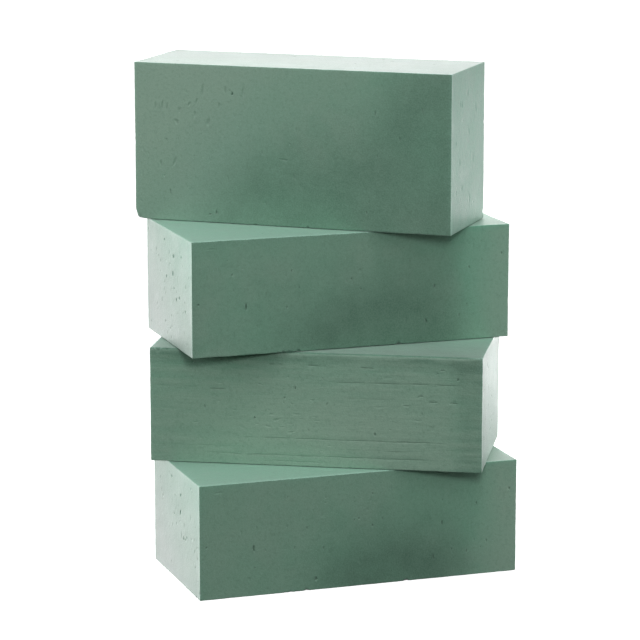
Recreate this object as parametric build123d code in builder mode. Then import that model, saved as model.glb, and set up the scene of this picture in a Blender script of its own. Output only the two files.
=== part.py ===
"""Four floral foam bricks in a free-standing stack.

Each brick is one sawn block of rigid phenolic foam, all of a standard size. Three lie flat on their broad
faces. The top one stands on a long narrow face. Each is turned and shifted a little on the one below.

The origin is the centre of the bottom brick's underside. +Z is up, and +X runs along that brick's length.
"""

import os

from build123d import *

# The standard brick.
LENGTH = 230.0
BREADTH = 110.0
THICKNESS = 80.0

# Sawn edges crumble to a small round. One lower end edge of the top brick is worn by handling.
EDGE_ROUND = 0.8
WORN_EDGE_ROUND = 2.5

# Where each brick's centre stands over the bottom brick's centre, and its turn in degrees seen from above.
SECOND_AT, SECOND_TURN = (1.0, 18.0), -28.0
THIRD_AT, THIRD_TURN = (5.5, 32.0), 0.0
TOP_AT, TOP_TURN = (-3.5, 43.0), -38.0

# Crumbs missing from one upper corner of the second brick: distance along the edge from the corner, and radius.
CRUMBS = [(1.0, 3.4), (5.8, 2.3), (10.4, 1.6)]

SECOND_BASE = THICKNESS
THIRD_BASE = SECOND_BASE + THICKNESS
TOP_BASE = THIRD_BASE + THICKNESS


def underside(at, base, turn):
    """The plane of a brick's underside, with its X axis along the brick's length."""
    return Plane(origin=(*at, base)).rotated((0, 0, turn))


def sawn_block(plane, across, height):
    """A brick standing on plane, LENGTH long and across deep, with every edge slightly rounded."""
    with BuildPart() as block:
        with BuildSketch(plane):
            Rectangle(LENGTH, across)
        extrude(amount=height)
        fillet(block.edges(), radius=EDGE_ROUND)
    return block


def is_sharp(edge, solid):
    """Whether the two faces that meet at this edge of the solid turn a corner there."""
    middle = edge @ 0.5
    first, second = (face for face in solid.faces() if edge in face.edges())
    return first.normal_at(middle).get_angle(second.normal_at(middle)) > 1


def make_bottom_brick():
    """The brick that the stack stands on, flat on a broad face."""
    return sawn_block(underside((0, 0), 0, 0), BREADTH, THICKNESS)


def make_second_brick():
    """A brick lying flat, with a few crumbs missing at its near left upper corner."""
    plane = underside(SECOND_AT, SECOND_BASE, SECOND_TURN)
    corner = Vector(-LENGTH / 2, -BREADTH / 2, THICKNESS)
    with BuildPart() as brick:
        add(sawn_block(plane, BREADTH, THICKNESS).part)
        for along, radius in CRUMBS:
            with Locations(plane.from_local_coords(corner + (along, 0, 0))):
                Sphere(radius, mode=Mode.SUBTRACT)
    return brick


def make_third_brick():
    """A brick lying flat, square to the bottom one."""
    return sawn_block(underside(THIRD_AT, THIRD_BASE, THIRD_TURN), BREADTH, THICKNESS)


def make_top_brick():
    """A brick standing on a long narrow face, with its lower left end edge worn round."""
    plane = underside(TOP_AT, TOP_BASE, TOP_TURN)
    with BuildPart() as brick:
        with BuildSketch(plane):
            Rectangle(LENGTH, THICKNESS)
        extrude(amount=BREADTH)
        along, across = (Axis(plane.origin, direction) for direction in (plane.x_dir, plane.y_dir))
        end_edges = brick.edges().group_by(Axis.Z)[0].filter_by(across)
        fillet(end_edges.sort_by(along)[0], radius=WORN_EDGE_ROUND)
        fillet(brick.edges().filter_by(lambda edge: is_sharp(edge, brick.part)), radius=EDGE_ROUND)
    return brick


BRICKS = {
    "bottom_brick": make_bottom_brick,
    "second_brick": make_second_brick,
    "third_brick": make_third_brick,
    "top_brick": make_top_brick,
}

os.makedirs("parts", exist_ok=True)
for name, make in BRICKS.items():
    brick = make()
    brick.part.label = name
    export_step(brick.part, f"parts/{name}.step")
    print(f"{name}: {brick.part.volume / 1000:.1f} cm3, valid {brick.part.is_valid}")
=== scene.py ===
"""The looks of a free-standing stack of floral foam bricks.

Each brick is one closed mesh around its CAD brick's faces: sawn faces that are never quite flat, crumbled
edges, and voids, dents, nicks and saw marks as real hollows in the mesh. No point ever lies outside the flat
faces. Sizes on a brick are in millimetres and become metres where its mesh is made.
"""

import math

import bpy
import numpy as np
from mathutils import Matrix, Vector
from mathutils.geometry import delaunay_2d_cdt


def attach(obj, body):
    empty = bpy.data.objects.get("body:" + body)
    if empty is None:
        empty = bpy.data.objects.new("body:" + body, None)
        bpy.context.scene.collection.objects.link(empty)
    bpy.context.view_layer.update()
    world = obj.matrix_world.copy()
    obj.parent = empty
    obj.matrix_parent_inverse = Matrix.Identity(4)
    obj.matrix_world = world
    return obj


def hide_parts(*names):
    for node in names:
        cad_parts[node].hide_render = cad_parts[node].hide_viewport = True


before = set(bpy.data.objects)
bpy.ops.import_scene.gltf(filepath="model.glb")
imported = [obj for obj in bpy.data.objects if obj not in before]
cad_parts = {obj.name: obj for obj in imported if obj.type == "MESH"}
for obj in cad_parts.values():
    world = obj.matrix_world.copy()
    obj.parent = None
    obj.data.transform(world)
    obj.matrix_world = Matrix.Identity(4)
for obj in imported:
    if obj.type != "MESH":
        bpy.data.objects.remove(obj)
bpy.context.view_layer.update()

MM = 0.001

# ----------------------------------------------------------------------------------------------------------
# Where the bricks are
# ----------------------------------------------------------------------------------------------------------

# Half of a brick's length, breadth and thickness, and how near to a face a point counts as being on it.
HALF_LENGTH, HALF_BREADTH, HALF_THICKNESS = 115.0, 55.0, 40.0
ON_FACE = 0.1

# Each face of a brick: its two in-plane directions, as seen from outside, and its normal. A brick's own x
# runs along its length, from left to right as seen from the front, and its z runs up.
FACES = {
    "front": ((1, 0, 0), (0, 0, 1), (0, -1, 0)),
    "back": ((-1, 0, 0), (0, 0, 1), (0, 1, 0)),
    "right": ((0, 1, 0), (0, 0, 1), (1, 0, 0)),
    "left": ((0, -1, 0), (0, 0, 1), (-1, 0, 0)),
    "top": ((1, 0, 0), (0, 1, 0), (0, 0, 1)),
    "bottom": ((1, 0, 0), (0, -1, 0), (0, 0, -1)),
}


def place_of(node):
    """A CAD brick's centre, the columns of its own axes and its half sizes in millimetres, from its mesh."""
    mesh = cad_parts[node].data
    upright = [polygon for polygon in mesh.polygons if abs(polygon.normal.z) < 0.5]
    side = max(upright, key=lambda polygon: polygon.area).normal
    turn = (math.atan2(side.x, -side.y) + math.pi / 2) % math.pi - math.pi / 2
    cos, sin = math.cos(turn), math.sin(turn)
    axes = np.array([[cos, -sin, 0], [sin, cos, 0], [0, 0, 1]])
    corners = np.array([vertex.co for vertex in mesh.vertices]) @ axes / MM
    low, high = corners.min(0), corners.max(0)
    return axes @ ((low + high) / 2), axes, (high - low) / 2


# ----------------------------------------------------------------------------------------------------------
# Noise
# ----------------------------------------------------------------------------------------------------------

LOW_BITS = 0xFFFFFFFF

# Brings nearly all of the noise to between -1 and 1.
NOISE_GAIN = 1.7


def hashed(lattice, seed):
    """A repeatable number from -1 to 1 for each row of whole numbers."""
    x, y, z = lattice.T
    key = (x * 73856093) ^ (y * 19349663) ^ (z * 83492791) ^ (seed * 2654435761)
    key = key & LOW_BITS
    for shift, factor in ((16, 0x45D9F3B), (15, 0x119DE1F3), (16, 1)):
        key = ((key ^ (key >> shift)) * factor) & LOW_BITS
    return key / (LOW_BITS // 2) - 1


def noise(points, size, seed):
    """Smooth gradient noise at the points, about -1 to 1, with bumps about size across."""
    scaled = points / size
    cell = np.floor(scaled).astype(np.int64)
    part = scaled - cell
    fade = part**3 * (part * (part * 6 - 15) + 10)
    total = np.zeros(len(points))
    for corner in np.ndindex(2, 2, 2):
        lattice = cell + corner
        slope = np.stack([hashed(lattice, seed * 3 + k) for k in range(3)], axis=1)
        weight = np.where(corner, fade, 1 - fade).prod(axis=1)
        total += weight * (slope * (part - corner)).sum(axis=1)
    return total * NOISE_GAIN


# ----------------------------------------------------------------------------------------------------------
# Marks on a face: patches of points with depths, in the face's own two directions
# ----------------------------------------------------------------------------------------------------------

# Room kept free between marks and a face's edges, and the gap between points round a mark.
EDGE_ROOM = 3.2
POINT_GAP = 0.42

# How far the room that a mark takes reaches, as a share of its radius.
RING_REACH = 1.5

# A mark's rings, from the inside out: a share of its radius and a share of its depth. The last ring is flat.
PIT_RINGS = ((0.5, 0.95), (0.86, 0.62), (1.08, 0.0), (1.5, 0.0))
DENT_RINGS = ((0.4, 0.86), (0.75, 0.4), (1.05, -0.12), (1.4, 0.0))

# Across a saw line, from above: the distance from its middle and the share of its depth.
GROOVE_SECTION = ((0.75, 0.0), (0.22, 0.3), (0.0, 1.0), (-0.35, 0.62), (-0.9, 0.22), (-1.5, 0.0))


class Marks:
    """The hollows of one face, and the room that they take."""

    def __init__(self, half_u, half_v, rng):
        self.half = np.array([half_u, half_v])
        self.rng = rng
        self.points, self.depths, self.shades = [], [], []
        self.ellipses, self.bands, self.taken = [], [], []

    def is_free(self, u, v, reach_u, reach_v):
        """Whether a patch of that reach stays clear of the face's edges and of the marks made so far."""
        if np.any(np.abs([u, v]) > self.half - (reach_u, reach_v) - EDGE_ROOM):
            return False
        return not any(abs(u - t[0]) < reach_u + t[2] and abs(v - t[1]) < reach_v + t[3] for t in self.taken)

    def add(self, points, depths, shade):
        self.points.append(np.array(points))
        self.depths.append(np.array(depths))
        self.shades.append(shade * np.array(depths) / np.max(depths))

    def hollow(self, u, v, along, across, turn, depth, rings, shade):
        """An irregular elliptical hollow, made of rings. It is left out where there is no room for it."""
        cos, sin = math.cos(turn), math.sin(turn)
        reach_u = RING_REACH * math.hypot(across * cos, along * sin)
        reach_v = RING_REACH * math.hypot(across * sin, along * cos)
        if not self.is_free(u, v, reach_u, reach_v):
            return
        phases = self.rng.uniform(0, 2 * math.pi, 3)
        points, depths = [(u, v)], [depth]
        for share, deep in rings:
            count = max(7, int(math.pi * (along + across) * share / POINT_GAP))
            angle = np.arange(count) / count * 2 * math.pi + self.rng.uniform(0, 1)
            wobble = 1 + 0.16 * np.sin(2 * angle + phases[0]) + 0.11 * np.sin(3 * angle + phases[1])
            wobble += 0.07 * np.sin(5 * angle + phases[2])
            x = across * share * wobble * np.cos(angle)
            y = along * share * wobble * np.sin(angle)
            points += list(zip(u + x * cos - y * sin, v + x * sin + y * cos))
            depths += [deep * depth] * count
        self.add(points, depths, shade)
        self.ellipses.append((u, v, along, across, turn))
        self.taken.append((u, v, reach_u, reach_v))

    def pit(self, u, v, along, across, depth, turn=0.0):
        """A burst cell: a small hole with steep walls."""
        self.hollow(u, v, along, across, turn, depth, PIT_RINGS, min(1.0, 0.35 + depth / 1.2))

    def dent(self, u, v, along, across, depth, turn=0.0):
        """A shallow press mark with soft sides."""
        self.hollow(u, v, along, across, turn, depth, DENT_RINGS, 0.5 * depth)

    def groove(self, u_from, u_to, v, depth):
        """A saw line along the face: steep above, running out below, and fading at both ends."""
        count = max(6, int((u_to - u_from) / 1.1))
        share = np.linspace(0, 1, count)
        us = u_from + share * (u_to - u_from)
        line = np.stack([us, np.full(count, v), np.zeros(count)], 1)
        wander = v + 0.5 * noise(line, 31, 5) + 0.22 * noise(line, 6, 6)
        broken = np.clip(0.6 + 0.9 * noise(line, 11, 7) + 0.4 * noise(line, 4, 8), 0.08, 1.2)
        fade = np.clip(np.sin(math.pi * share) * 2.2, 0, 1) * broken
        points, depths = [], []
        for offset, deep in GROOVE_SECTION:
            points += list(zip(us, wander + offset))
            depths += list(depth * deep * fade)
        self.add(points, depths, min(0.75, depth * 1.6))
        reach = 0.5 - GROOVE_SECTION[-1][0]
        self.bands.append((u_from, u_to, v, reach))
        self.taken.append(((u_from + u_to) / 2, v, (u_to - u_from) / 2, reach))

    def clear(self, points):
        """Which of the points are outside every mark."""
        keep = np.ones(len(points), bool)
        for u, v, along, across, turn in self.ellipses:
            x, y = points[:, 0] - u, points[:, 1] - v
            cos, sin = math.cos(turn), math.sin(turn)
            wide = (x * cos + y * sin) / (1.4 * across + 0.5)
            high = (y * cos - x * sin) / (1.4 * along + 0.5)
            keep &= wide**2 + high**2 > 1
        for u_from, u_to, v, reach in self.bands:
            keep &= (points[:, 0] < u_from) | (points[:, 0] > u_to) | (np.abs(points[:, 1] - v) > reach)
        return keep


def scatter_pits(marks, count, size, upright):
    """Burst cells all over a face, most of them small, and taller than wide where the foam rose upwards."""
    for _ in range(count):
        u, v = marks.rng.uniform(-marks.half, marks.half)
        across = size * marks.rng.lognormal(0, 0.35)
        stretch = marks.rng.uniform(1.4, 2.9) if upright else marks.rng.uniform(1.0, 1.5)
        lean = marks.rng.normal(0, 0.16) if upright else marks.rng.uniform(0, math.pi)
        marks.pit(u, v, across * stretch, across, across * marks.rng.uniform(0.6, 1.5), lean)


def scatter_dents(marks, count, centre, spread, along, across):
    """Shallow press marks, thickest about a centre."""
    for _ in range(count):
        u, v = marks.rng.normal(centre, spread)
        size = marks.rng.uniform(0.6, 1.4)
        marks.dent(u, v, along * size, across * size, marks.rng.uniform(0.1, 0.26), marks.rng.normal(0, 0.2))


# ----------------------------------------------------------------------------------------------------------
# The mesh of a brick
# ----------------------------------------------------------------------------------------------------------

# The gap between points along an edge, the rows of points beside it, and the gap between points on a face.
EDGE_STEP = 0.85
STRIPS = (0.22, 0.5, 0.85, 1.4, 2.2)
FACE_STEP = 2.1

# The radius of a plain crumbled edge, and the least and the most that an uneven or worn one may have.
EDGE_RADIUS, LEAST_RADIUS, MOST_RADIUS = 0.7, 0.3, 3.6

# How far from a worn edge its wear reaches, and how many small crumbs are missing along all edges.
WEAR_REACH = 7
CRUMB_COUNT = 40

# How quickly the dust and the painted highlight on an edge thin out beside it.
DUST_AND_HIGHLIGHT_REACH = 1.5


def steps_along(half, rng):
    """Places along an edge, a little uneven, from one corner to the other."""
    count = int(round(2 * half / EDGE_STEP))
    steps = np.linspace(-half, half, count + 1)
    steps[1:-1] += rng.uniform(-0.15, 0.15, count - 1) * EDGE_STEP
    return steps


def inner(steps, limit):
    """The steps that stay clear of both ends."""
    return steps[np.abs(steps) < limit - 0.2]


def rectangle(u_steps, v_steps, half_u, half_v):
    """Points round a rectangle, at its corners and at the given places along its sides."""
    us, vs = inner(u_steps, half_u), inner(v_steps, half_v)
    sides = [np.stack([us, np.full(len(us), edge)], 1) for edge in (-half_v, half_v)]
    sides += [np.stack([np.full(len(vs), edge), vs], 1) for edge in (-half_u, half_u)]
    corners = np.array([(a, b) for a in (-half_u, half_u) for b in (-half_v, half_v)])
    return np.concatenate([*sides, corners])


def face_mesh(u_steps, v_steps, marks):
    """A face's points in its own two directions, their depths and shades, and its triangles."""
    half_u, half_v = marks.half
    layers = [rectangle(u_steps, v_steps, half_u, half_v)]
    layers += [rectangle(u_steps, v_steps, half_u - inset, half_v - inset) for inset in STRIPS]
    room = marks.half - STRIPS[-1] - 0.8
    rows = np.arange(-room[1], room[1], FACE_STEP * 0.87)
    columns = np.arange(-room[0], room[0], FACE_STEP)
    grid = np.array([(u + FACE_STEP / 2 * (k % 2), v) for k, v in enumerate(rows) for u in columns])
    grid += marks.rng.uniform(-0.24, 0.24, grid.shape) * FACE_STEP
    grid = grid[np.all(np.abs(grid) < room, axis=1)]
    layers.append(grid[marks.clear(grid)])
    plain = sum(len(layer) for layer in layers)
    points = np.concatenate(layers + marks.points)
    depths = np.concatenate([np.zeros(plain)] + marks.depths)
    shades = np.concatenate([np.zeros(plain)] + marks.shades)
    result = delaunay_2d_cdt([Vector(point) for point in points], [], [], 0, 1e-7, True)
    origin = [ids[0] for ids in result[3]]
    triangles = np.array([[origin[k] for k in face] for face in result[2]])
    return points, depths, shades, triangles


def joined(parts):
    """The faces' points and triangles as one closed surface, with the points on shared edges made one."""
    points = np.concatenate([part[0] for part in parts])
    starts = np.cumsum([0] + [len(part[0]) for part in parts])
    triangles = np.concatenate([part[4] + start for part, start in zip(parts, starts)])
    _, first, which = np.unique(np.round(points, 4), axis=0, return_index=True, return_inverse=True)
    which = which.reshape(-1)
    values = [np.concatenate([part[k] for part in parts])[first] for k in (1, 2, 3)]
    return points[first], *values, which[triangles]


def rounded(points, half, radius):
    """Points of a sharp box moved onto a box with edges of that radius, and their outward normals."""
    room = half - radius[:, None]
    core = np.clip(points, -room, room)
    out = points - core
    out /= np.linalg.norm(out, axis=1)[:, None]
    return core + out * radius[:, None], out


def bitten(points, nicks, seed):
    """Points inside a nick's ball go straight in to its far side, and how far each one went."""
    moved = points.copy()
    went = np.zeros(len(points))
    for centre, inward, radius in nicks:
        inward = inward / np.linalg.norm(inward)
        near = np.flatnonzero(np.linalg.norm(moved - centre, axis=1) < radius * 1.5)
        offset = moved[near] - centre
        reach = radius * (1 + 0.28 * noise(moved[near], radius * 0.9, seed))
        inside = (offset**2).sum(axis=1) < reach**2
        near, offset, reach = near[inside], offset[inside], reach[inside]
        along = offset @ inward
        travel = -along + np.sqrt(along**2 + reach**2 - (offset**2).sum(axis=1))
        moved[near] += travel[:, None] * inward
        went[near] = np.maximum(went[near], travel)
    return moved, went


def nick(half, signs, along, radius):
    """A crumb missing from an edge: signs say which edge, with 0 for the direction that it runs in."""
    signs = np.array(signs, float)
    return half * signs + along * (signs == 0), -signs, radius


def random_nicks(half, count, rng):
    """Small crumbs missing along the edges."""
    nicks = []
    for _ in range(count):
        signs = rng.choice([-1.0, 1.0], 3)
        axis = rng.integers(3)
        signs[axis] = 0
        nicks.append(nick(half, signs, rng.uniform(-half[axis], half[axis]), 0.35 + rng.exponential(0.22)))
    return nicks


def near_edge(points, half, signs, reach):
    """1 along one edge of the box, falling to 0 from half of reach to reach away from it."""
    gaps = [half[k] - sign * points[:, k] for k, sign in enumerate(signs) if sign]
    distance = np.hypot(*gaps)
    return 1 - np.clip(2 * distance / reach - 1, 0, 1)


def edge_dust_and_highlight(points, half):
    """Dust along the edges, and a painted highlight where their rounding would catch the light: most along
    the near ones, and little low down or on the near side.
    """
    gaps = half - np.abs(points)
    dust = np.exp(-np.sort(gaps, axis=1)[:, 1] / DUST_AND_HIGHLIGHT_REACH)
    from_near, from_low = half[1] + points[:, 1], half[2] + points[:, 2]
    dust *= np.where(from_near < 4, 1.0, 0.35)
    on_near_side = (from_near < ON_FACE) & (gaps[:, 0] > ON_FACE) & (gaps[:, 2] > ON_FACE)
    dust *= np.where(on_near_side, 0.15, 1.0)
    return dust * np.clip(from_low / 3, 0.15, 1)


def brick_mesh(half, look, seed):
    """A brick's vertices about its own centre, its triangles, and the attributes that its material reads."""
    rng = np.random.default_rng(seed)
    steps = [steps_along(half[k], rng) for k in range(3)]
    parts = []
    for face, directions in FACES.items():
        u_axis, v_axis, normal = (np.array(axis, float) for axis in directions)
        ku, kv = np.flatnonzero(u_axis)[0], np.flatnonzero(v_axis)[0]
        marks = Marks(half[ku], half[kv], rng)
        look.mark(face, marks)
        points, depths, shades, triangles = face_mesh(steps[ku] * u_axis[ku], steps[kv] * v_axis[kv], marks)
        solid = points[:, :1] * u_axis + points[:, 1:] * v_axis + normal * (half @ np.abs(normal))
        parts.append((solid, depths, shades, np.full(len(points), look.sawn(face)), triangles))
    points, depths, shades, sawn, triangles = joined(parts)
    radius = EDGE_RADIUS + 0.35 * noise(points, 14, seed) + 0.3 * noise(points, 3.1, seed + 1)
    worn = np.zeros(len(points))
    for signs, soft, fade in look.worn_edges:
        share = near_edge(points, half, signs, WEAR_REACH)
        if fade:
            share *= np.clip((half - np.abs(points))[:, signs.index(0)] / fade, 0, 1)
        radius += soft * share
        worn = np.maximum(worn, share)
    surface, out = rounded(points, half, np.clip(radius, LEAST_RADIUS, MOST_RADIUS))
    sag = 0.06 + 0.1 * (1 + noise(points, 46, seed + 2)) + 0.05 * (1 + noise(points, 11, seed + 3))
    sag += 0.035 * (1 + noise(points, 3.3, seed + 4))
    surface -= out * (sag + depths)[:, None]
    nicks = [nick(half, *values) for values in look.nicks] + random_nicks(half, CRUMB_COUNT, rng)
    surface, went = bitten(surface, nicks, seed + 5)
    return surface, triangles, {
        # Painted shade in the marks and where crumbs are missing, darker the deeper they go.
        "hollow": np.clip(shades + went / 1.2, 0, 1),
        # Dust and a painted highlight along the edges, none where an edge is worn.
        "edge": edge_dust_and_highlight(points, half) * (1 - worn),
        "sawn": sawn,
        # Painted light and shade, mostly on the near side.
        "tone": look.tone(points),
        # Greener foam, and a painted sheen where it is paler and greyer.
        "greener_and_painted_sheen": look.greener_and_painted_sheen(points),
    }


# ----------------------------------------------------------------------------------------------------------
# What sets each brick apart
# ----------------------------------------------------------------------------------------------------------

UPRIGHT_FACES = ("front", "back", "left", "right")

# Pits, dents and dashes are listed by their place from the middle of their face, to the right and up, then
# half their height and half their width. Pits add a depth, and some a lean. Grooves have both ends, their
# height on the face and their depth. Nicks have their edge, their place along it and their radius. Worn edges
# have their edge, how much rounder it is, and over what length the wear fades in from its ends.
#
# Each look gives painted shading, from -1 for painted shade to 1 for painted light, and a second value, from
# -1 for a painted sheen and highlight to 1 for brighter, greener foam.


class FlatBrick:
    """A clean brick lying flat: upright burst cells, painted shade low in the middle of its near side, and
    painted light towards its right end.
    """

    FRONT_PITS = (
        (-76.6, -6.6, 2.0, 0.7, 1.2), (59.5, -0.5, 1.5, 0.5, 0.8), (53.5, -24.4, 1.9, 0.45, 1.0, 0.3),
        (77.8, -22.2, 1.5, 0.4, 0.55), (-38.7, 4.5, 1.0, 0.4, 0.4), (84.9, 11.3, 1.2, 0.5, 0.5),
        (-1.3, 8.1, 0.9, 0.4, 0.45), (-4.6, 7.0, 0.9, 0.35, 0.3), (83.4, -14.6, 0.6, 0.4, 0.4),
        (109.2, 19.7, 1.2, 0.5, 0.55), (-110.2, -3.2, 0.9, 0.6, 0.6), (-47.5, -8.7, 1.2, 0.4, 0.3),
        (-26.9, -10.6, 1.0, 0.4, 0.3), (66.4, -19.8, 0.8, 0.4, 0.3),
    )
    FRONT_DENTS = (
        (-73.7, 27.3, 2.4, 0.7), (-85.5, 5.0, 2.2, 0.8), (-62.3, 0.8, 2.6, 0.8), (4.9, 13.5, 1.2, 1.5),
        (-60.0, 36.0, 0.9, 7.0), (-101.0, 34.2, 0.8, 5.0), (22.0, 28.0, 2.0, 0.9), (-5.0, 22.0, 2.4, 0.8),
    )
    LEFT_PITS = (
        (11.0, 23.1, 1.3, 0.7, 0.8), (9.4, 10.6, 1.6, 0.9, 0.8), (-6.0, 6.3, 1.1, 0.7, 0.6),
        (-10.7, 31.2, 1.0, 0.8, 0.6), (24.8, -3.7, 1.1, 0.8, 0.5), (17.2, -6.0, 1.4, 0.8, 0.5),
    )
    worn_edges = ()
    nicks = (
        ((0, -1, -1), 33.6, 1.9), ((0, -1, -1), -39.0, 1.6), ((0, -1, -1), -46.0, 1.1),
        ((0, -1, -1), -50.2, 1.3), ((0, -1, -1), -54.0, 1.0), ((-1, -1, 0), -3.4, 0.9),
    )

    def __init__(self, low_shade, near_painted_light):
        self.low_shade = low_shade
        self.near_painted_light = near_painted_light

    def mark(self, face, marks):
        if face == "front":
            for pit in self.FRONT_PITS:
                marks.pit(*pit)
            for dent in self.FRONT_DENTS:
                marks.dent(*dent, 0.2)
        if face == "left":
            for pit in self.LEFT_PITS:
                marks.pit(*pit)
            scatter_dents(marks, 25, (5, 0), (25, 20), 2.0, 1.1)
        scatter_pits(marks, 24, 0.26, face in UPRIGHT_FACES)
        scatter_dents(marks, 14, (0, 0), marks.half * 0.6, 2.2, 0.9)

    def sawn(self, face):
        return 0.15

    def tone(self, points):
        x, y, z = points.T
        # Painted light and shade on the near side: lighter all over by the painted light set for the brick,
        # lighter by its right end, darker low in its middle by the painted shade set for the brick, and with
        # painted shade along its left and top edges.
        near = np.exp(-(((y + HALF_BREADTH) / 60) ** 2))
        painted_dark = self.low_shade * np.exp(-(((x - 25) / 62) ** 2) - ((z + 46) / 50) ** 2)
        pale = 0.9 * np.exp(-(((x - 112) / 26) ** 2))
        from_rim = np.minimum(x + HALF_LENGTH, HALF_THICKNESS - z)
        rim = np.where(y < ON_FACE - HALF_BREADTH, 0.65 * np.exp(-from_rim / 1.8), 0)
        return near * np.clip(self.near_painted_light + pale - painted_dark - rim, -1, 1)

    def greener_and_painted_sheen(self, points):
        x, y, z = points.T
        # The left end gets a painted sheen, paler and greyer low down and towards the back, and is greener
        # high up and near; the near side is greener by its right end, higher up, along with the painted light
        # there; the top and bottom are greener.
        grey = np.clip(0.3 - z / 60 + y / 100, -0.8, 1) * (x < ON_FACE - HALF_LENGTH)
        green = 0.9 * np.exp(-(((x - 108) / 30) ** 2)) * np.clip(0.55 + z / 60, 0, 1)
        green *= y < ON_FACE - HALF_BREADTH
        return np.where(np.abs(z) > HALF_THICKNESS - ON_FACE, 1.0, green - grey)


class RoughBrick:
    """A brick whose near side was left rough by the saw, in long lines and short torn dashes."""

    FRONT_GROOVES = (
        (8, 102, 20.2, 0.34), (-52, 94, -20.3, 0.4), (-77, 84, -32.4, 0.42), (18, 56, 9.2, 0.16),
        (-32, -22, 31.2, 0.5), (-5, 8, 31.0, 0.75), (31, 41, 30.6, 0.45), (-73, -62, 12.8, 0.6),
        (-112, -80, 14.0, 0.12), (20, 70, -27.0, 0.14), (-40, 10, -36.6, 0.16), (-100, -40, -27.5, 0.12),
    )
    FRONT_DASHES = (
        (72.9, 12.1, 0.5, 1.7), (81.5, 8.2, 0.45, 3.0), (95.5, 8.0, 0.4, 3.4), (63.0, 5.1, 0.4, 2.2),
        (87.5, 30.6, 0.5, 1.6),
    )
    FRONT_PITS = (
        (-13.3, 15.0, 1.2, 0.4, 0.7), (-41.8, -6.8, 0.9, 0.6, 0.6), (-16.8, -16.2, 1.6, 0.45, 0.9),
        (-15.8, 4.0, 0.9, 0.35, 0.4), (8.5, 4.7, 0.9, 0.4, 0.45), (13.4, 4.0, 0.6, 0.35, 0.3),
        (41.7, -15.4, 1.2, 0.5, 0.9), (24.1, 12.1, 0.8, 0.6, 0.5), (98.0, 24.6, 0.9, 0.6, 0.8),
        (73.7, 0.0, 1.2, 0.4, 0.4), (79.1, -21.3, 0.9, 0.4, 0.4), (-21.5, 4.5, 0.7, 0.35, 0.3),
    )
    worn_edges = (((0, -1, 1), 1.6, 12.0),)
    nicks = (
        ((0, -1, 1), -113.6, 1.9), ((0, -1, 1), -111.2, 1.3), ((0, -1, 1), -108.6, 2.1),
        ((0, -1, 1), -105.9, 1.1), ((0, -1, 1), -103.6, 1.7), ((0, -1, 1), -100.4, 0.9),
        ((0, -1, 1), -96.5, 1.0), ((-1, 0, 1), -51.0, 1.3), ((0, -1, 1), -90.0, 0.8),
        ((0, -1, -1), 24.0, 0.9),
    )

    def mark(self, face, marks):
        if face in ("front", "back"):
            for u_from, u_to, v, depth in self.FRONT_GROOVES:
                marks.groove(u_from, u_to, v, depth)
        if face == "front":
            for u, v, along, across in self.FRONT_DASHES:
                marks.pit(u, v, along, across, 0.32)
            for pit in self.FRONT_PITS:
                marks.pit(*pit)
            scatter_dents(marks, 60, (-5, -5), (55, 16), 0.8, 2.6)
        scatter_pits(marks, 24, 0.26, face in UPRIGHT_FACES)
        scatter_dents(marks, 14, (0, 0), marks.half * 0.6, 2.0, 1.0)

    def sawn(self, face):
        return 1.0 if face in ("front", "back") else 0.2

    def tone(self, points):
        x, y, z = points.T
        # Painted light and shade on the near side: lighter low in the middle, and painted shade by the right
        # end, in a band along the top edge and over the top face, most at its front, where the brick above
        # would shade it.
        near = np.exp(-(((y + HALF_BREADTH) / 50) ** 2))
        pale = 1.1 * np.exp(-(((x - 10) / 100) ** 2) - ((z + 12) / 36) ** 2)
        painted_dark = 0.75 * np.clip((x - 90) / 12, 0, 1) + 0.88 * np.exp(-(((z - 38) / 8) ** 2))
        painted_dark += 0.3 * (z > HALF_THICKNESS - ON_FACE)
        return near * np.clip(pale - painted_dark, -0.95, 1)

    def greener_and_painted_sheen(self, points):
        return np.where(np.abs(points[:, 2]) > HALF_THICKNESS - ON_FACE, 1.0, 0.0)


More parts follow.
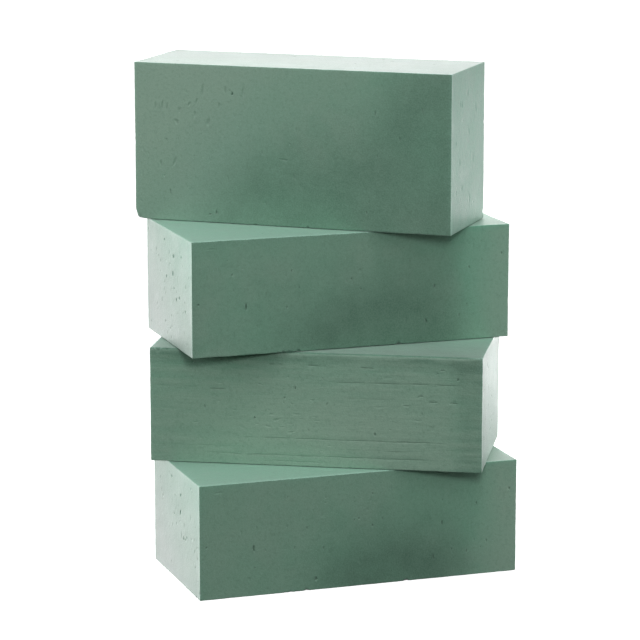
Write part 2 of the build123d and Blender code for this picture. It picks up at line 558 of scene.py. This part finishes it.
class EdgeBrick:
    """The brick that stands on edge, held at its left: press marks there, a painted sheen there too, a
    painted highlight on its top, and one end edge worn round.
    """

    # The dents on its front are made this much taller and wider than they are listed.
    TALLER, WIDER = 1.2, 1.5

    FRONT_DENTS = (
        (-99.0, 25.0, 2.4, 0.7), (-94.0, 25.5, 3.0, 0.6), (-90.4, 24.0, 2.8, 0.7), (-87.0, 25.0, 2.6, 0.6),
        (-81.5, 22.5, 2.2, 0.9), (-83.5, 14.5, 1.6, 1.3), (-79.0, 10.5, 3.2, 1.0), (-64.0, 37.0, 4.0, 0.8),
        (-68.5, 29.0, 2.4, 0.7), (-47.5, 37.5, 2.8, 0.9), (-52.0, 26.5, 2.8, 0.7), (-45.0, 32.0, 1.8, 0.7),
        (-34.5, 37.2, 4.4, 0.7), (-60.0, 15.0, 2.2, 1.2), (-85.0, -13.5, 3.2, 0.8), (-89.5, -9.0, 2.6, 1.3),
        (-95.5, -16.0, 2.4, 0.8), (-70.0, 20.0, 2.0, 0.8), (-74.0, 27.0, 1.8, 0.7), (-5.0, -8.5, 0.6, 3.0),
    )
    FRONT_PITS = (
        (-88.6, -34.5, 1.5, 0.55, 0.6), (-54.4, -47.5, 1.1, 0.7, 0.8), (-59.0, -49.0, 0.8, 0.9, 0.5),
        (61.0, 26.2, 1.8, 0.45, 0.45), (78.5, 9.5, 1.5, 0.5, 0.3), (55.0, -42.2, 1.4, 0.5, 0.5),
        (-23.0, -50.8, 0.8, 1.2, 0.7), (94.0, 30.0, 1.5, 0.4, 0.3),
    )
    RIGHT_DENTS = (
        (-18.5, 32.0, 2.6, 1.2), (-14.8, 31.0, 2.4, 0.9), (-28.8, 6.7, 3.0, 1.0), (1.3, 11.5, 3.2, 1.8),
        (-27.0, -27.2, 2.0, 1.3), (-14.4, -25.7, 3.0, 1.6), (12.0, -8.0, 5.0, 3.0), (-2.0, 38.0, 3.0, 2.5),
        (18.0, 25.0, 4.0, 2.0), (4.0, -36.0, 4.0, 2.5), (-20.0, -8.0, 3.0, 2.2),
    )
    worn_edges = (((-1, 0, -1), 2.6, 0.0),)
    nicks = (
        ((0, -1, -1), 12.7, 1.3), ((0, -1, -1), -25.0, 1.1), ((0, -1, -1), 70.0, 0.8), ((1, 1, 0), 13.0, 1.4),
        ((1, -1, 0), -21.0, 0.8), ((1, 1, 0), -50.0, 1.6), ((0, -1, -1), 92.0, 0.9),
    )

    def mark(self, face, marks):
        if face == "front":
            for u, v, along, across in self.FRONT_DENTS:
                lean = marks.rng.normal(0, 0.15)
                marks.dent(u, v, self.TALLER * along, self.WIDER * across, 0.5, lean)
            for pit in self.FRONT_PITS:
                marks.pit(*pit)
            scatter_dents(marks, 40, (-70, 8), (26, 22), 2.4, 0.8)
        if face == "right":
            for dent in self.RIGHT_DENTS:
                marks.dent(*dent, 0.22)
            scatter_pits(marks, 5, 0.2, True)
        else:
            scatter_pits(marks, 22, 0.25, face in UPRIGHT_FACES)
            scatter_dents(marks, 20, (0, 0), marks.half * 0.6, 2.4, 0.9)

    def sawn(self, face):
        return 0.1

    def tone(self, points):
        x, y, z = points.T
        # Painted light and shade: the near side is lighter to the left and higher up, darker low down left of
        # the middle, lighter right of the middle and has painted shade along its right edge; the right end
        # has a painted highlight along its near edge and painted shade low down.
        near = np.exp(-(((y + HALF_THICKNESS) / 45) ** 2))
        low = 0.45 * np.exp(-(((x + 33) / 56) ** 2) - ((z + 28) / 48) ** 2)
        middle = 0.33 * np.exp(-(((x - 48) / 36) ** 2))
        rim = np.where(y < ON_FACE - HALF_THICKNESS, 0.3 * np.exp(-(HALF_LENGTH - x) / 2.5), 0)
        front = near * np.clip(-0.2 - x / 85 + z / 80 - low + middle - rim, -0.68, 1)
        end = 0.9 * np.exp(-(y + HALF_THICKNESS) / 1.6) - 0.25 * np.clip(-z / HALF_BREADTH, 0, 1)
        return np.where(x > HALF_LENGTH - ON_FACE, end, front)

    def greener_and_painted_sheen(self, points):
        x, y, z = points.T
        # A painted sheen on the near side towards the left and a painted highlight over all of the top; the
        # right end is greener.
        left_sheen = 0.35 * np.exp(-(((x + 60) / 50) ** 2)) * (y < 1 - HALF_THICKNESS)
        sides = np.where(x > HALF_LENGTH - ON_FACE, 1.0, -left_sheen)
        return np.where(z > HALF_BREADTH - ON_FACE, -1.0, sides)


# Each CAD node's body, the look of its brick and the seed of its random marks.
BRICKS = {
    # A flat brick's numbers are the strength of its painted shade low on its near side and of the painted
    # light over all of its near side.
    "bottom_brick": ("bottom", FlatBrick(1.65, 0.25), 11),
    "second_brick": ("second", RoughBrick(), 23),
    "third_brick": ("third", FlatBrick(1.7, 0.0), 37),
    "top_brick": ("top", EdgeBrick(), 53),
}

# ----------------------------------------------------------------------------------------------------------
# Foam material
# ----------------------------------------------------------------------------------------------------------


class Shader:
    """A short way to add and link a material's nodes."""

    def __init__(self, tree):
        self.tree = tree

    def node(self, kind, settings=None, **inputs):
        node = self.tree.nodes.new(kind)
        for name, value in (settings or {}).items():
            setattr(node, name, value)
        for name, value in inputs.items():
            socket = node.inputs[int(name[1:])] if name[0] == "_" else node.inputs[name.replace("_", " ")]
            if isinstance(value, bpy.types.NodeSocket):
                self.tree.links.new(value, socket)
            else:
                socket.default_value = value
        return node

    def noise(self, vector, scale, detail=2.0, roughness=0.5):
        return self.node("ShaderNodeTexNoise", None, Vector=vector, Scale=scale, Detail=detail,
                         Roughness=roughness).outputs["Fac"]

    def math(self, operation, first, second=0.0):
        return self.node("ShaderNodeMath", {"operation": operation}, _0=first, _1=second).outputs[0]

    def fit(self, value, low, high, to_low=0.0, to_high=1.0):
        return self.node("ShaderNodeMapRange", None, Value=value, From_Min=low, From_Max=high, To_Min=to_low,
                         To_Max=to_high).outputs["Result"]

    def mix(self, factor, first, second, blend="MIX"):
        return self.node("ShaderNodeMix", {"data_type": "RGBA", "blend_type": blend}, _0=factor, _6=first,
                         _7=second).outputs[2]

    def bump(self, height, distance, strength=1.0, normal=None):
        inputs = {"Height": height, "Distance": distance, "Strength": strength}
        if normal is not None:
            inputs["Normal"] = normal
        return self.node("ShaderNodeBump", None, **inputs).outputs["Normal"]


FOAM_GREEN = (0.145, 0.345, 0.23, 1)
FOAM_GREY = (0.18, 0.325, 0.235, 1)
FOAM_DEEP = (0.11, 0.29, 0.185, 1)
# Dark green for the grit and for painted shade.
FOAM_GRIT_AND_PAINTED_SHADE = (0.046, 0.138, 0.084, 1)
# Bright green for greener foam, which by the right end of a flat brick's near side goes with the painted
# light there.
FOAM_BRIGHT_GREEN = (0.09, 0.45, 0.27, 1)
# Pale grey-green for a painted sheen and a painted highlight.
FOAM_PAINTED_SHEEN = (0.27, 0.32, 0.29, 1)
# Pale green for the saw marks and for painted light.
FOAM_SAWN_AND_PAINTED_LIGHT = (0.25, 0.39, 0.292, 1)
# Dark green for painted shade in the hollows and the fine cells.
HOLLOW_SHADE_GREEN = (0.04, 0.11, 0.07, 1)
DUST = (0.38, 0.62, 0.49, 1)
# Pale mint for dust and a painted highlight along the edges.
EDGE_DUST_AND_HIGHLIGHT = (0.5, 0.82, 0.68, 1)


def foam_material():
    """Dry floral foam: fine cells with painted shade, cloudy colour, dust and a painted highlight on the
    edges, burst cells darkened with painted shade, painted light, shade and sheen on the faces, and a chalky
    sheen.
    """
    material = bpy.data.materials.new("floral_foam")
    material.use_nodes = True
    tree = material.node_tree
    tree.nodes.clear()
    s = Shader(tree)
    place = s.node("ShaderNodeAttribute", {"attribute_name": "brick_place"}).outputs["Vector"]
    hollow = s.node("ShaderNodeAttribute", {"attribute_name": "hollow"}).outputs["Fac"]
    edge = s.node("ShaderNodeAttribute", {"attribute_name": "edge"}).outputs["Fac"]
    tone = s.node("ShaderNodeAttribute", {"attribute_name": "tone"}).outputs["Fac"]
    sawn = s.node("ShaderNodeAttribute", {"attribute_name": "sawn"}).outputs["Fac"]
    greener_and_painted_sheen = s.node("ShaderNodeAttribute", {"attribute_name": "greener_and_painted_sheen"}).outputs["Fac"]

    clouds = s.noise(place, 11, 3, 0.55)
    blotches = s.noise(place, 60, 4, 0.65)
    grit = s.noise(place, 420, 3, 0.65)
    grain = s.noise(place, 1100, 2, 0.6)
    cells = s.node("ShaderNodeTexVoronoi", {"feature": "SMOOTH_F1"}, Vector=place, Scale=2600.0)
    cells = cells.outputs["Distance"]
    stretched = s.node("ShaderNodeVectorMath", {"operation": "MULTIPLY"}, _0=place, _1=(0.12, 1, 1))
    streaks = s.noise(stretched.outputs["Vector"], 210, 4, 0.6)
    saw_marks = s.math("MULTIPLY", sawn, streaks)

    colour = s.mix(s.fit(clouds, 0.35, 0.65), FOAM_GREEN, FOAM_GREY)
    colour = s.mix(s.fit(blotches, 0.4, 0.7, 0.0, 0.52), colour, FOAM_DEEP)
    uneven = s.fit(blotches, 0.3, 0.7, 0.7, 1.0)
    # Brighter, greener foam, partly with the painted light on the flat bricks' near sides.
    colour = s.mix(s.math("MULTIPLY", s.fit(greener_and_painted_sheen, 0.0, 1.0), uneven), colour, FOAM_BRIGHT_GREEN)
    # Painted sheen and painted highlight.
    colour = s.mix(s.fit(greener_and_painted_sheen, 0.0, -1.0), colour, FOAM_PAINTED_SHEEN)
    # Painted shade.
    colour = s.mix(s.math("MULTIPLY", s.fit(tone, 0.0, -1.0), uneven), colour, FOAM_GRIT_AND_PAINTED_SHADE)
    # Painted light.
    colour = s.mix(s.math("MULTIPLY", s.fit(tone, 0.0, 1.0), uneven), colour, FOAM_SAWN_AND_PAINTED_LIGHT)
    colour = s.mix(s.fit(saw_marks, 0.35, 0.65, 0.0, 0.55), colour, FOAM_SAWN_AND_PAINTED_LIGHT)
    colour = s.mix(s.fit(grit, 0.5, 0.75, 0.0, 0.3), colour, FOAM_GRIT_AND_PAINTED_SHADE)
    colour = s.mix(s.fit(grain, 0.3, 0.7, 0.0, 0.17), colour, DUST)
    # Painted shade in the fine cells.
    colour = s.mix(s.fit(cells, 0.1, 0.6, 0.0, 0.16), colour, HOLLOW_SHADE_GREEN)
    # Dust and a painted highlight along the edges.
    colour = s.mix(s.math("MULTIPLY", edge, s.fit(grain, 0.3, 0.6, 0.25, 0.85)), colour, EDGE_DUST_AND_HIGHLIGHT)
    # Painted shade in the hollows.
    colour = s.mix(s.math("MULTIPLY", hollow, 0.7), colour, HOLLOW_SHADE_GREEN)

    normal = s.bump(clouds, 0.0006, 0.4)
    normal = s.bump(s.noise(place, 260, 3, 0.6), 0.0003, 0.5, normal)
    normal = s.bump(saw_marks, 0.0005, 0.6, normal)
    normal = s.bump(grit, 0.00016, 0.6, normal)
    normal = s.bump(grain, 0.00012, 0.5, normal)
    normal = s.bump(cells, 0.00010, 0.5, normal)
    roughness = s.fit(blotches, 0.3, 0.7, 0.48, 0.56)
    shader = s.node("ShaderNodeBsdfPrincipled", None, Base_Color=colour, Roughness=roughness, Normal=normal)
    shader.inputs["Sheen Weight"].default_value = 0.5
    shader.inputs["Sheen Roughness"].default_value = 0.6
    shader.inputs["Sheen Tint"].default_value = (0.86, 1, 0.94, 1)
    shader.inputs["Specular IOR Level"].default_value = 0.6
    s.node("ShaderNodeOutputMaterial", None, Surface=shader.outputs[0])
    return material


def set_attribute(mesh, name, values):
    kind = "FLOAT" if values.ndim == 1 else "FLOAT_VECTOR"
    attribute = mesh.attributes.new(name, kind, "POINT")
    attribute.data.foreach_set("value" if kind == "FLOAT" else "vector", values.astype(np.float32).ravel())


def make_brick(node, body, look, seed, material):
    """The foam brick that stands for a CAD node."""
    centre, axes, half = place_of(node)
    surface, triangles, attributes = brick_mesh(half, look, seed)
    mesh = bpy.data.meshes.new(node + "_foam")
    mesh.from_pydata(((surface @ axes.T + centre) * MM).tolist(), [], triangles.tolist())
    mesh.validate()
    mesh.shade_smooth()
    set_attribute(mesh, "brick_place", surface * MM + seed * 0.31)
    for name, values in attributes.items():
        set_attribute(mesh, name, values)
    mesh.materials.append(material)
    brick = bpy.data.objects.new(node + "_foam", mesh)
    bpy.context.scene.collection.objects.link(brick)
    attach(brick, body)
    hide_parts(node)


foam = foam_material()
for node, (body, look, seed) in BRICKS.items():
    make_brick(node, body, look, seed, foam)

# ----------------------------------------------------------------------------------------------------------
# Floor, light and camera
# ----------------------------------------------------------------------------------------------------------

FLOOR_RADIUS, FLOOR_CORNERS = 6.0, 96
FLOOR_GLOW = 0.7


def make_floor():
    """A white floor, a little lit from within, that neither throws light onto the stack nor blocks any."""
    material = bpy.data.materials.new("pale_floor")
    material.use_nodes = True
    shader = material.node_tree.nodes["Principled BSDF"]
    shader.inputs["Base Color"].default_value = (0.9, 0.9, 0.9, 1)
    shader.inputs["Roughness"].default_value = 0.9
    shader.inputs["Emission Color"].default_value = (1, 1, 1, 1)
    shader.inputs["Emission Strength"].default_value = FLOOR_GLOW
    mesh = bpy.data.meshes.new("floor")
    angles = np.arange(FLOOR_CORNERS) / FLOOR_CORNERS * 2 * math.pi
    rim = [(FLOOR_RADIUS * math.cos(angle), FLOOR_RADIUS * math.sin(angle), 0) for angle in angles]
    mesh.from_pydata(rim, [], [list(range(FLOOR_CORNERS))])
    mesh.materials.append(material)
    disc = bpy.data.objects.new("floor", mesh)
    bpy.context.scene.collection.objects.link(disc)
    disc.visible_diffuse = False
    disc.visible_glossy = False
    disc.visible_shadow = False


def soft_lamp(name, place, size, power):
    """A round lamp aimed at the stack."""
    data = bpy.data.lights.new(name, "AREA")
    data.shape = "DISK"
    data.size = size
    data.energy = power
    lamp = bpy.data.objects.new(name, data)
    lamp.location = place
    lamp.rotation_mode = "QUATERNION"
    lamp.rotation_quaternion = (Vector(LAMP_AIM) - Vector(place)).to_track_quat("-Z", "Y")
    lamp.visible_camera = False
    bpy.context.scene.collection.objects.link(lamp)


CAMERA_AZIMUTH, CAMERA_ELEVATION = math.radians(-18.95), math.radians(11.5)
CAMERA_DISTANCE = 2.1
LENS, SENSOR = 169.4, 36.0

# A point near the middle of the stack, and how far to the left of it the camera aims.
CAMERA_TARGET, CAMERA_ASIDE = (0, 0.020, 0.1715), 0.0035

# Far soft panels, as the camera sees them: direction to the right, away and up, strength, and how tight.
PANELS = (
    ((0.0, 0.98, 0.2), 4.8, 12.0),
    ((-0.6, 0.77, -0.2), 3.6, 12.0),
    ((-0.7, 0.7, 0.0), 1.38, 4.0),
    ((0.0, -0.7, 0.7), 0.71, 4.0),
    ((-0.5, -0.5, 0.7), 0.31, 4.0),
)

# Soft lamps near the stack: where they all aim, then the place, size and power of each.
LAMP_AIM = (0, 0.03, 0.17)
LAMPS = {
    "front_lamp": ((-0.4, -1.5, 0.75), 0.3, 7.45),
    "top_lamp": ((0.1, -0.3, 1.2), 0.3, 1.75),
    "left_lamp": ((-0.8, -0.1, 0.42), 0.4, 1.03),
    "right_lamp": ((0.75, -0.35, 0.45), 0.3, 0.4),
    "low_right_lamp": ((0.48, -0.21, 0.09), 0.2, 0.32),
    "back_right_lamp": ((0.665, 0.373, 0.17), 0.2, 0.75),
    "low_back_right_lamp": ((0.47, 0.4, 0.04), 0.15, 0.65),
}


def make_world():
    """Far soft panels, brightest behind the stack, against white."""
    world = bpy.data.worlds.new("studio")
    world.use_nodes = True
    tree = world.node_tree
    tree.nodes.clear()
    s = Shader(tree)
    direction = s.node("ShaderNodeTexCoord").outputs["Generated"]
    cos, sin = math.cos(CAMERA_AZIMUTH), math.sin(CAMERA_AZIMUTH)
    total = 0.0
    for (right, away, up), power, focus in PANELS:
        towards = (right * cos - away * sin, right * sin + away * cos, up)
        facing = s.node("ShaderNodeVectorMath", {"operation": "DOT_PRODUCT"}, _0=direction, _1=towards)
        glow = s.math("POWER", s.math("MAXIMUM", facing.outputs["Value"], 0.0), focus)
        total = s.math("ADD", s.math("MULTIPLY", glow, power), total)
    seen = s.node("ShaderNodeLightPath").outputs["Is Camera Ray"]
    strength = s.node("ShaderNodeMix", {"data_type": "FLOAT"}, _0=seen, _2=total, _3=1.0).outputs[0]
    light = s.node("ShaderNodeBackground", None, Strength=strength)
    light.inputs["Color"].default_value = (1, 1, 1, 1)
    s.node("ShaderNodeOutputWorld", None, Surface=light.outputs[0])
    bpy.context.scene.world = world


def make_camera():
    """The camera at the photograph's angle, aimed near the middle of the stack."""
    cos, sin = math.cos(CAMERA_AZIMUTH), math.sin(CAMERA_AZIMUTH)
    level, up = math.cos(CAMERA_ELEVATION), math.sin(CAMERA_ELEVATION)
    right = Vector((cos, sin, 0))
    back = Vector((sin * level, -cos * level, up))
    data = bpy.data.cameras.new("camera")
    data.lens, data.sensor_width = LENS, SENSOR
    data.clip_start, data.clip_end = 0.1, 50
    camera = bpy.data.objects.new("camera", data)
    target = Vector(CAMERA_TARGET) - right * CAMERA_ASIDE
    camera.location = target + back * CAMERA_DISTANCE
    camera.rotation_mode = "QUATERNION"
    camera.rotation_quaternion = (-back).to_track_quat("-Z", "Y")
    bpy.context.scene.collection.objects.link(camera)
    bpy.context.scene.camera = camera


make_floor()
make_world()
for name, lamp in LAMPS.items():
    soft_lamp(name, *lamp)
make_camera()
bpy.context.scene.view_settings.view_transform = "Standard"
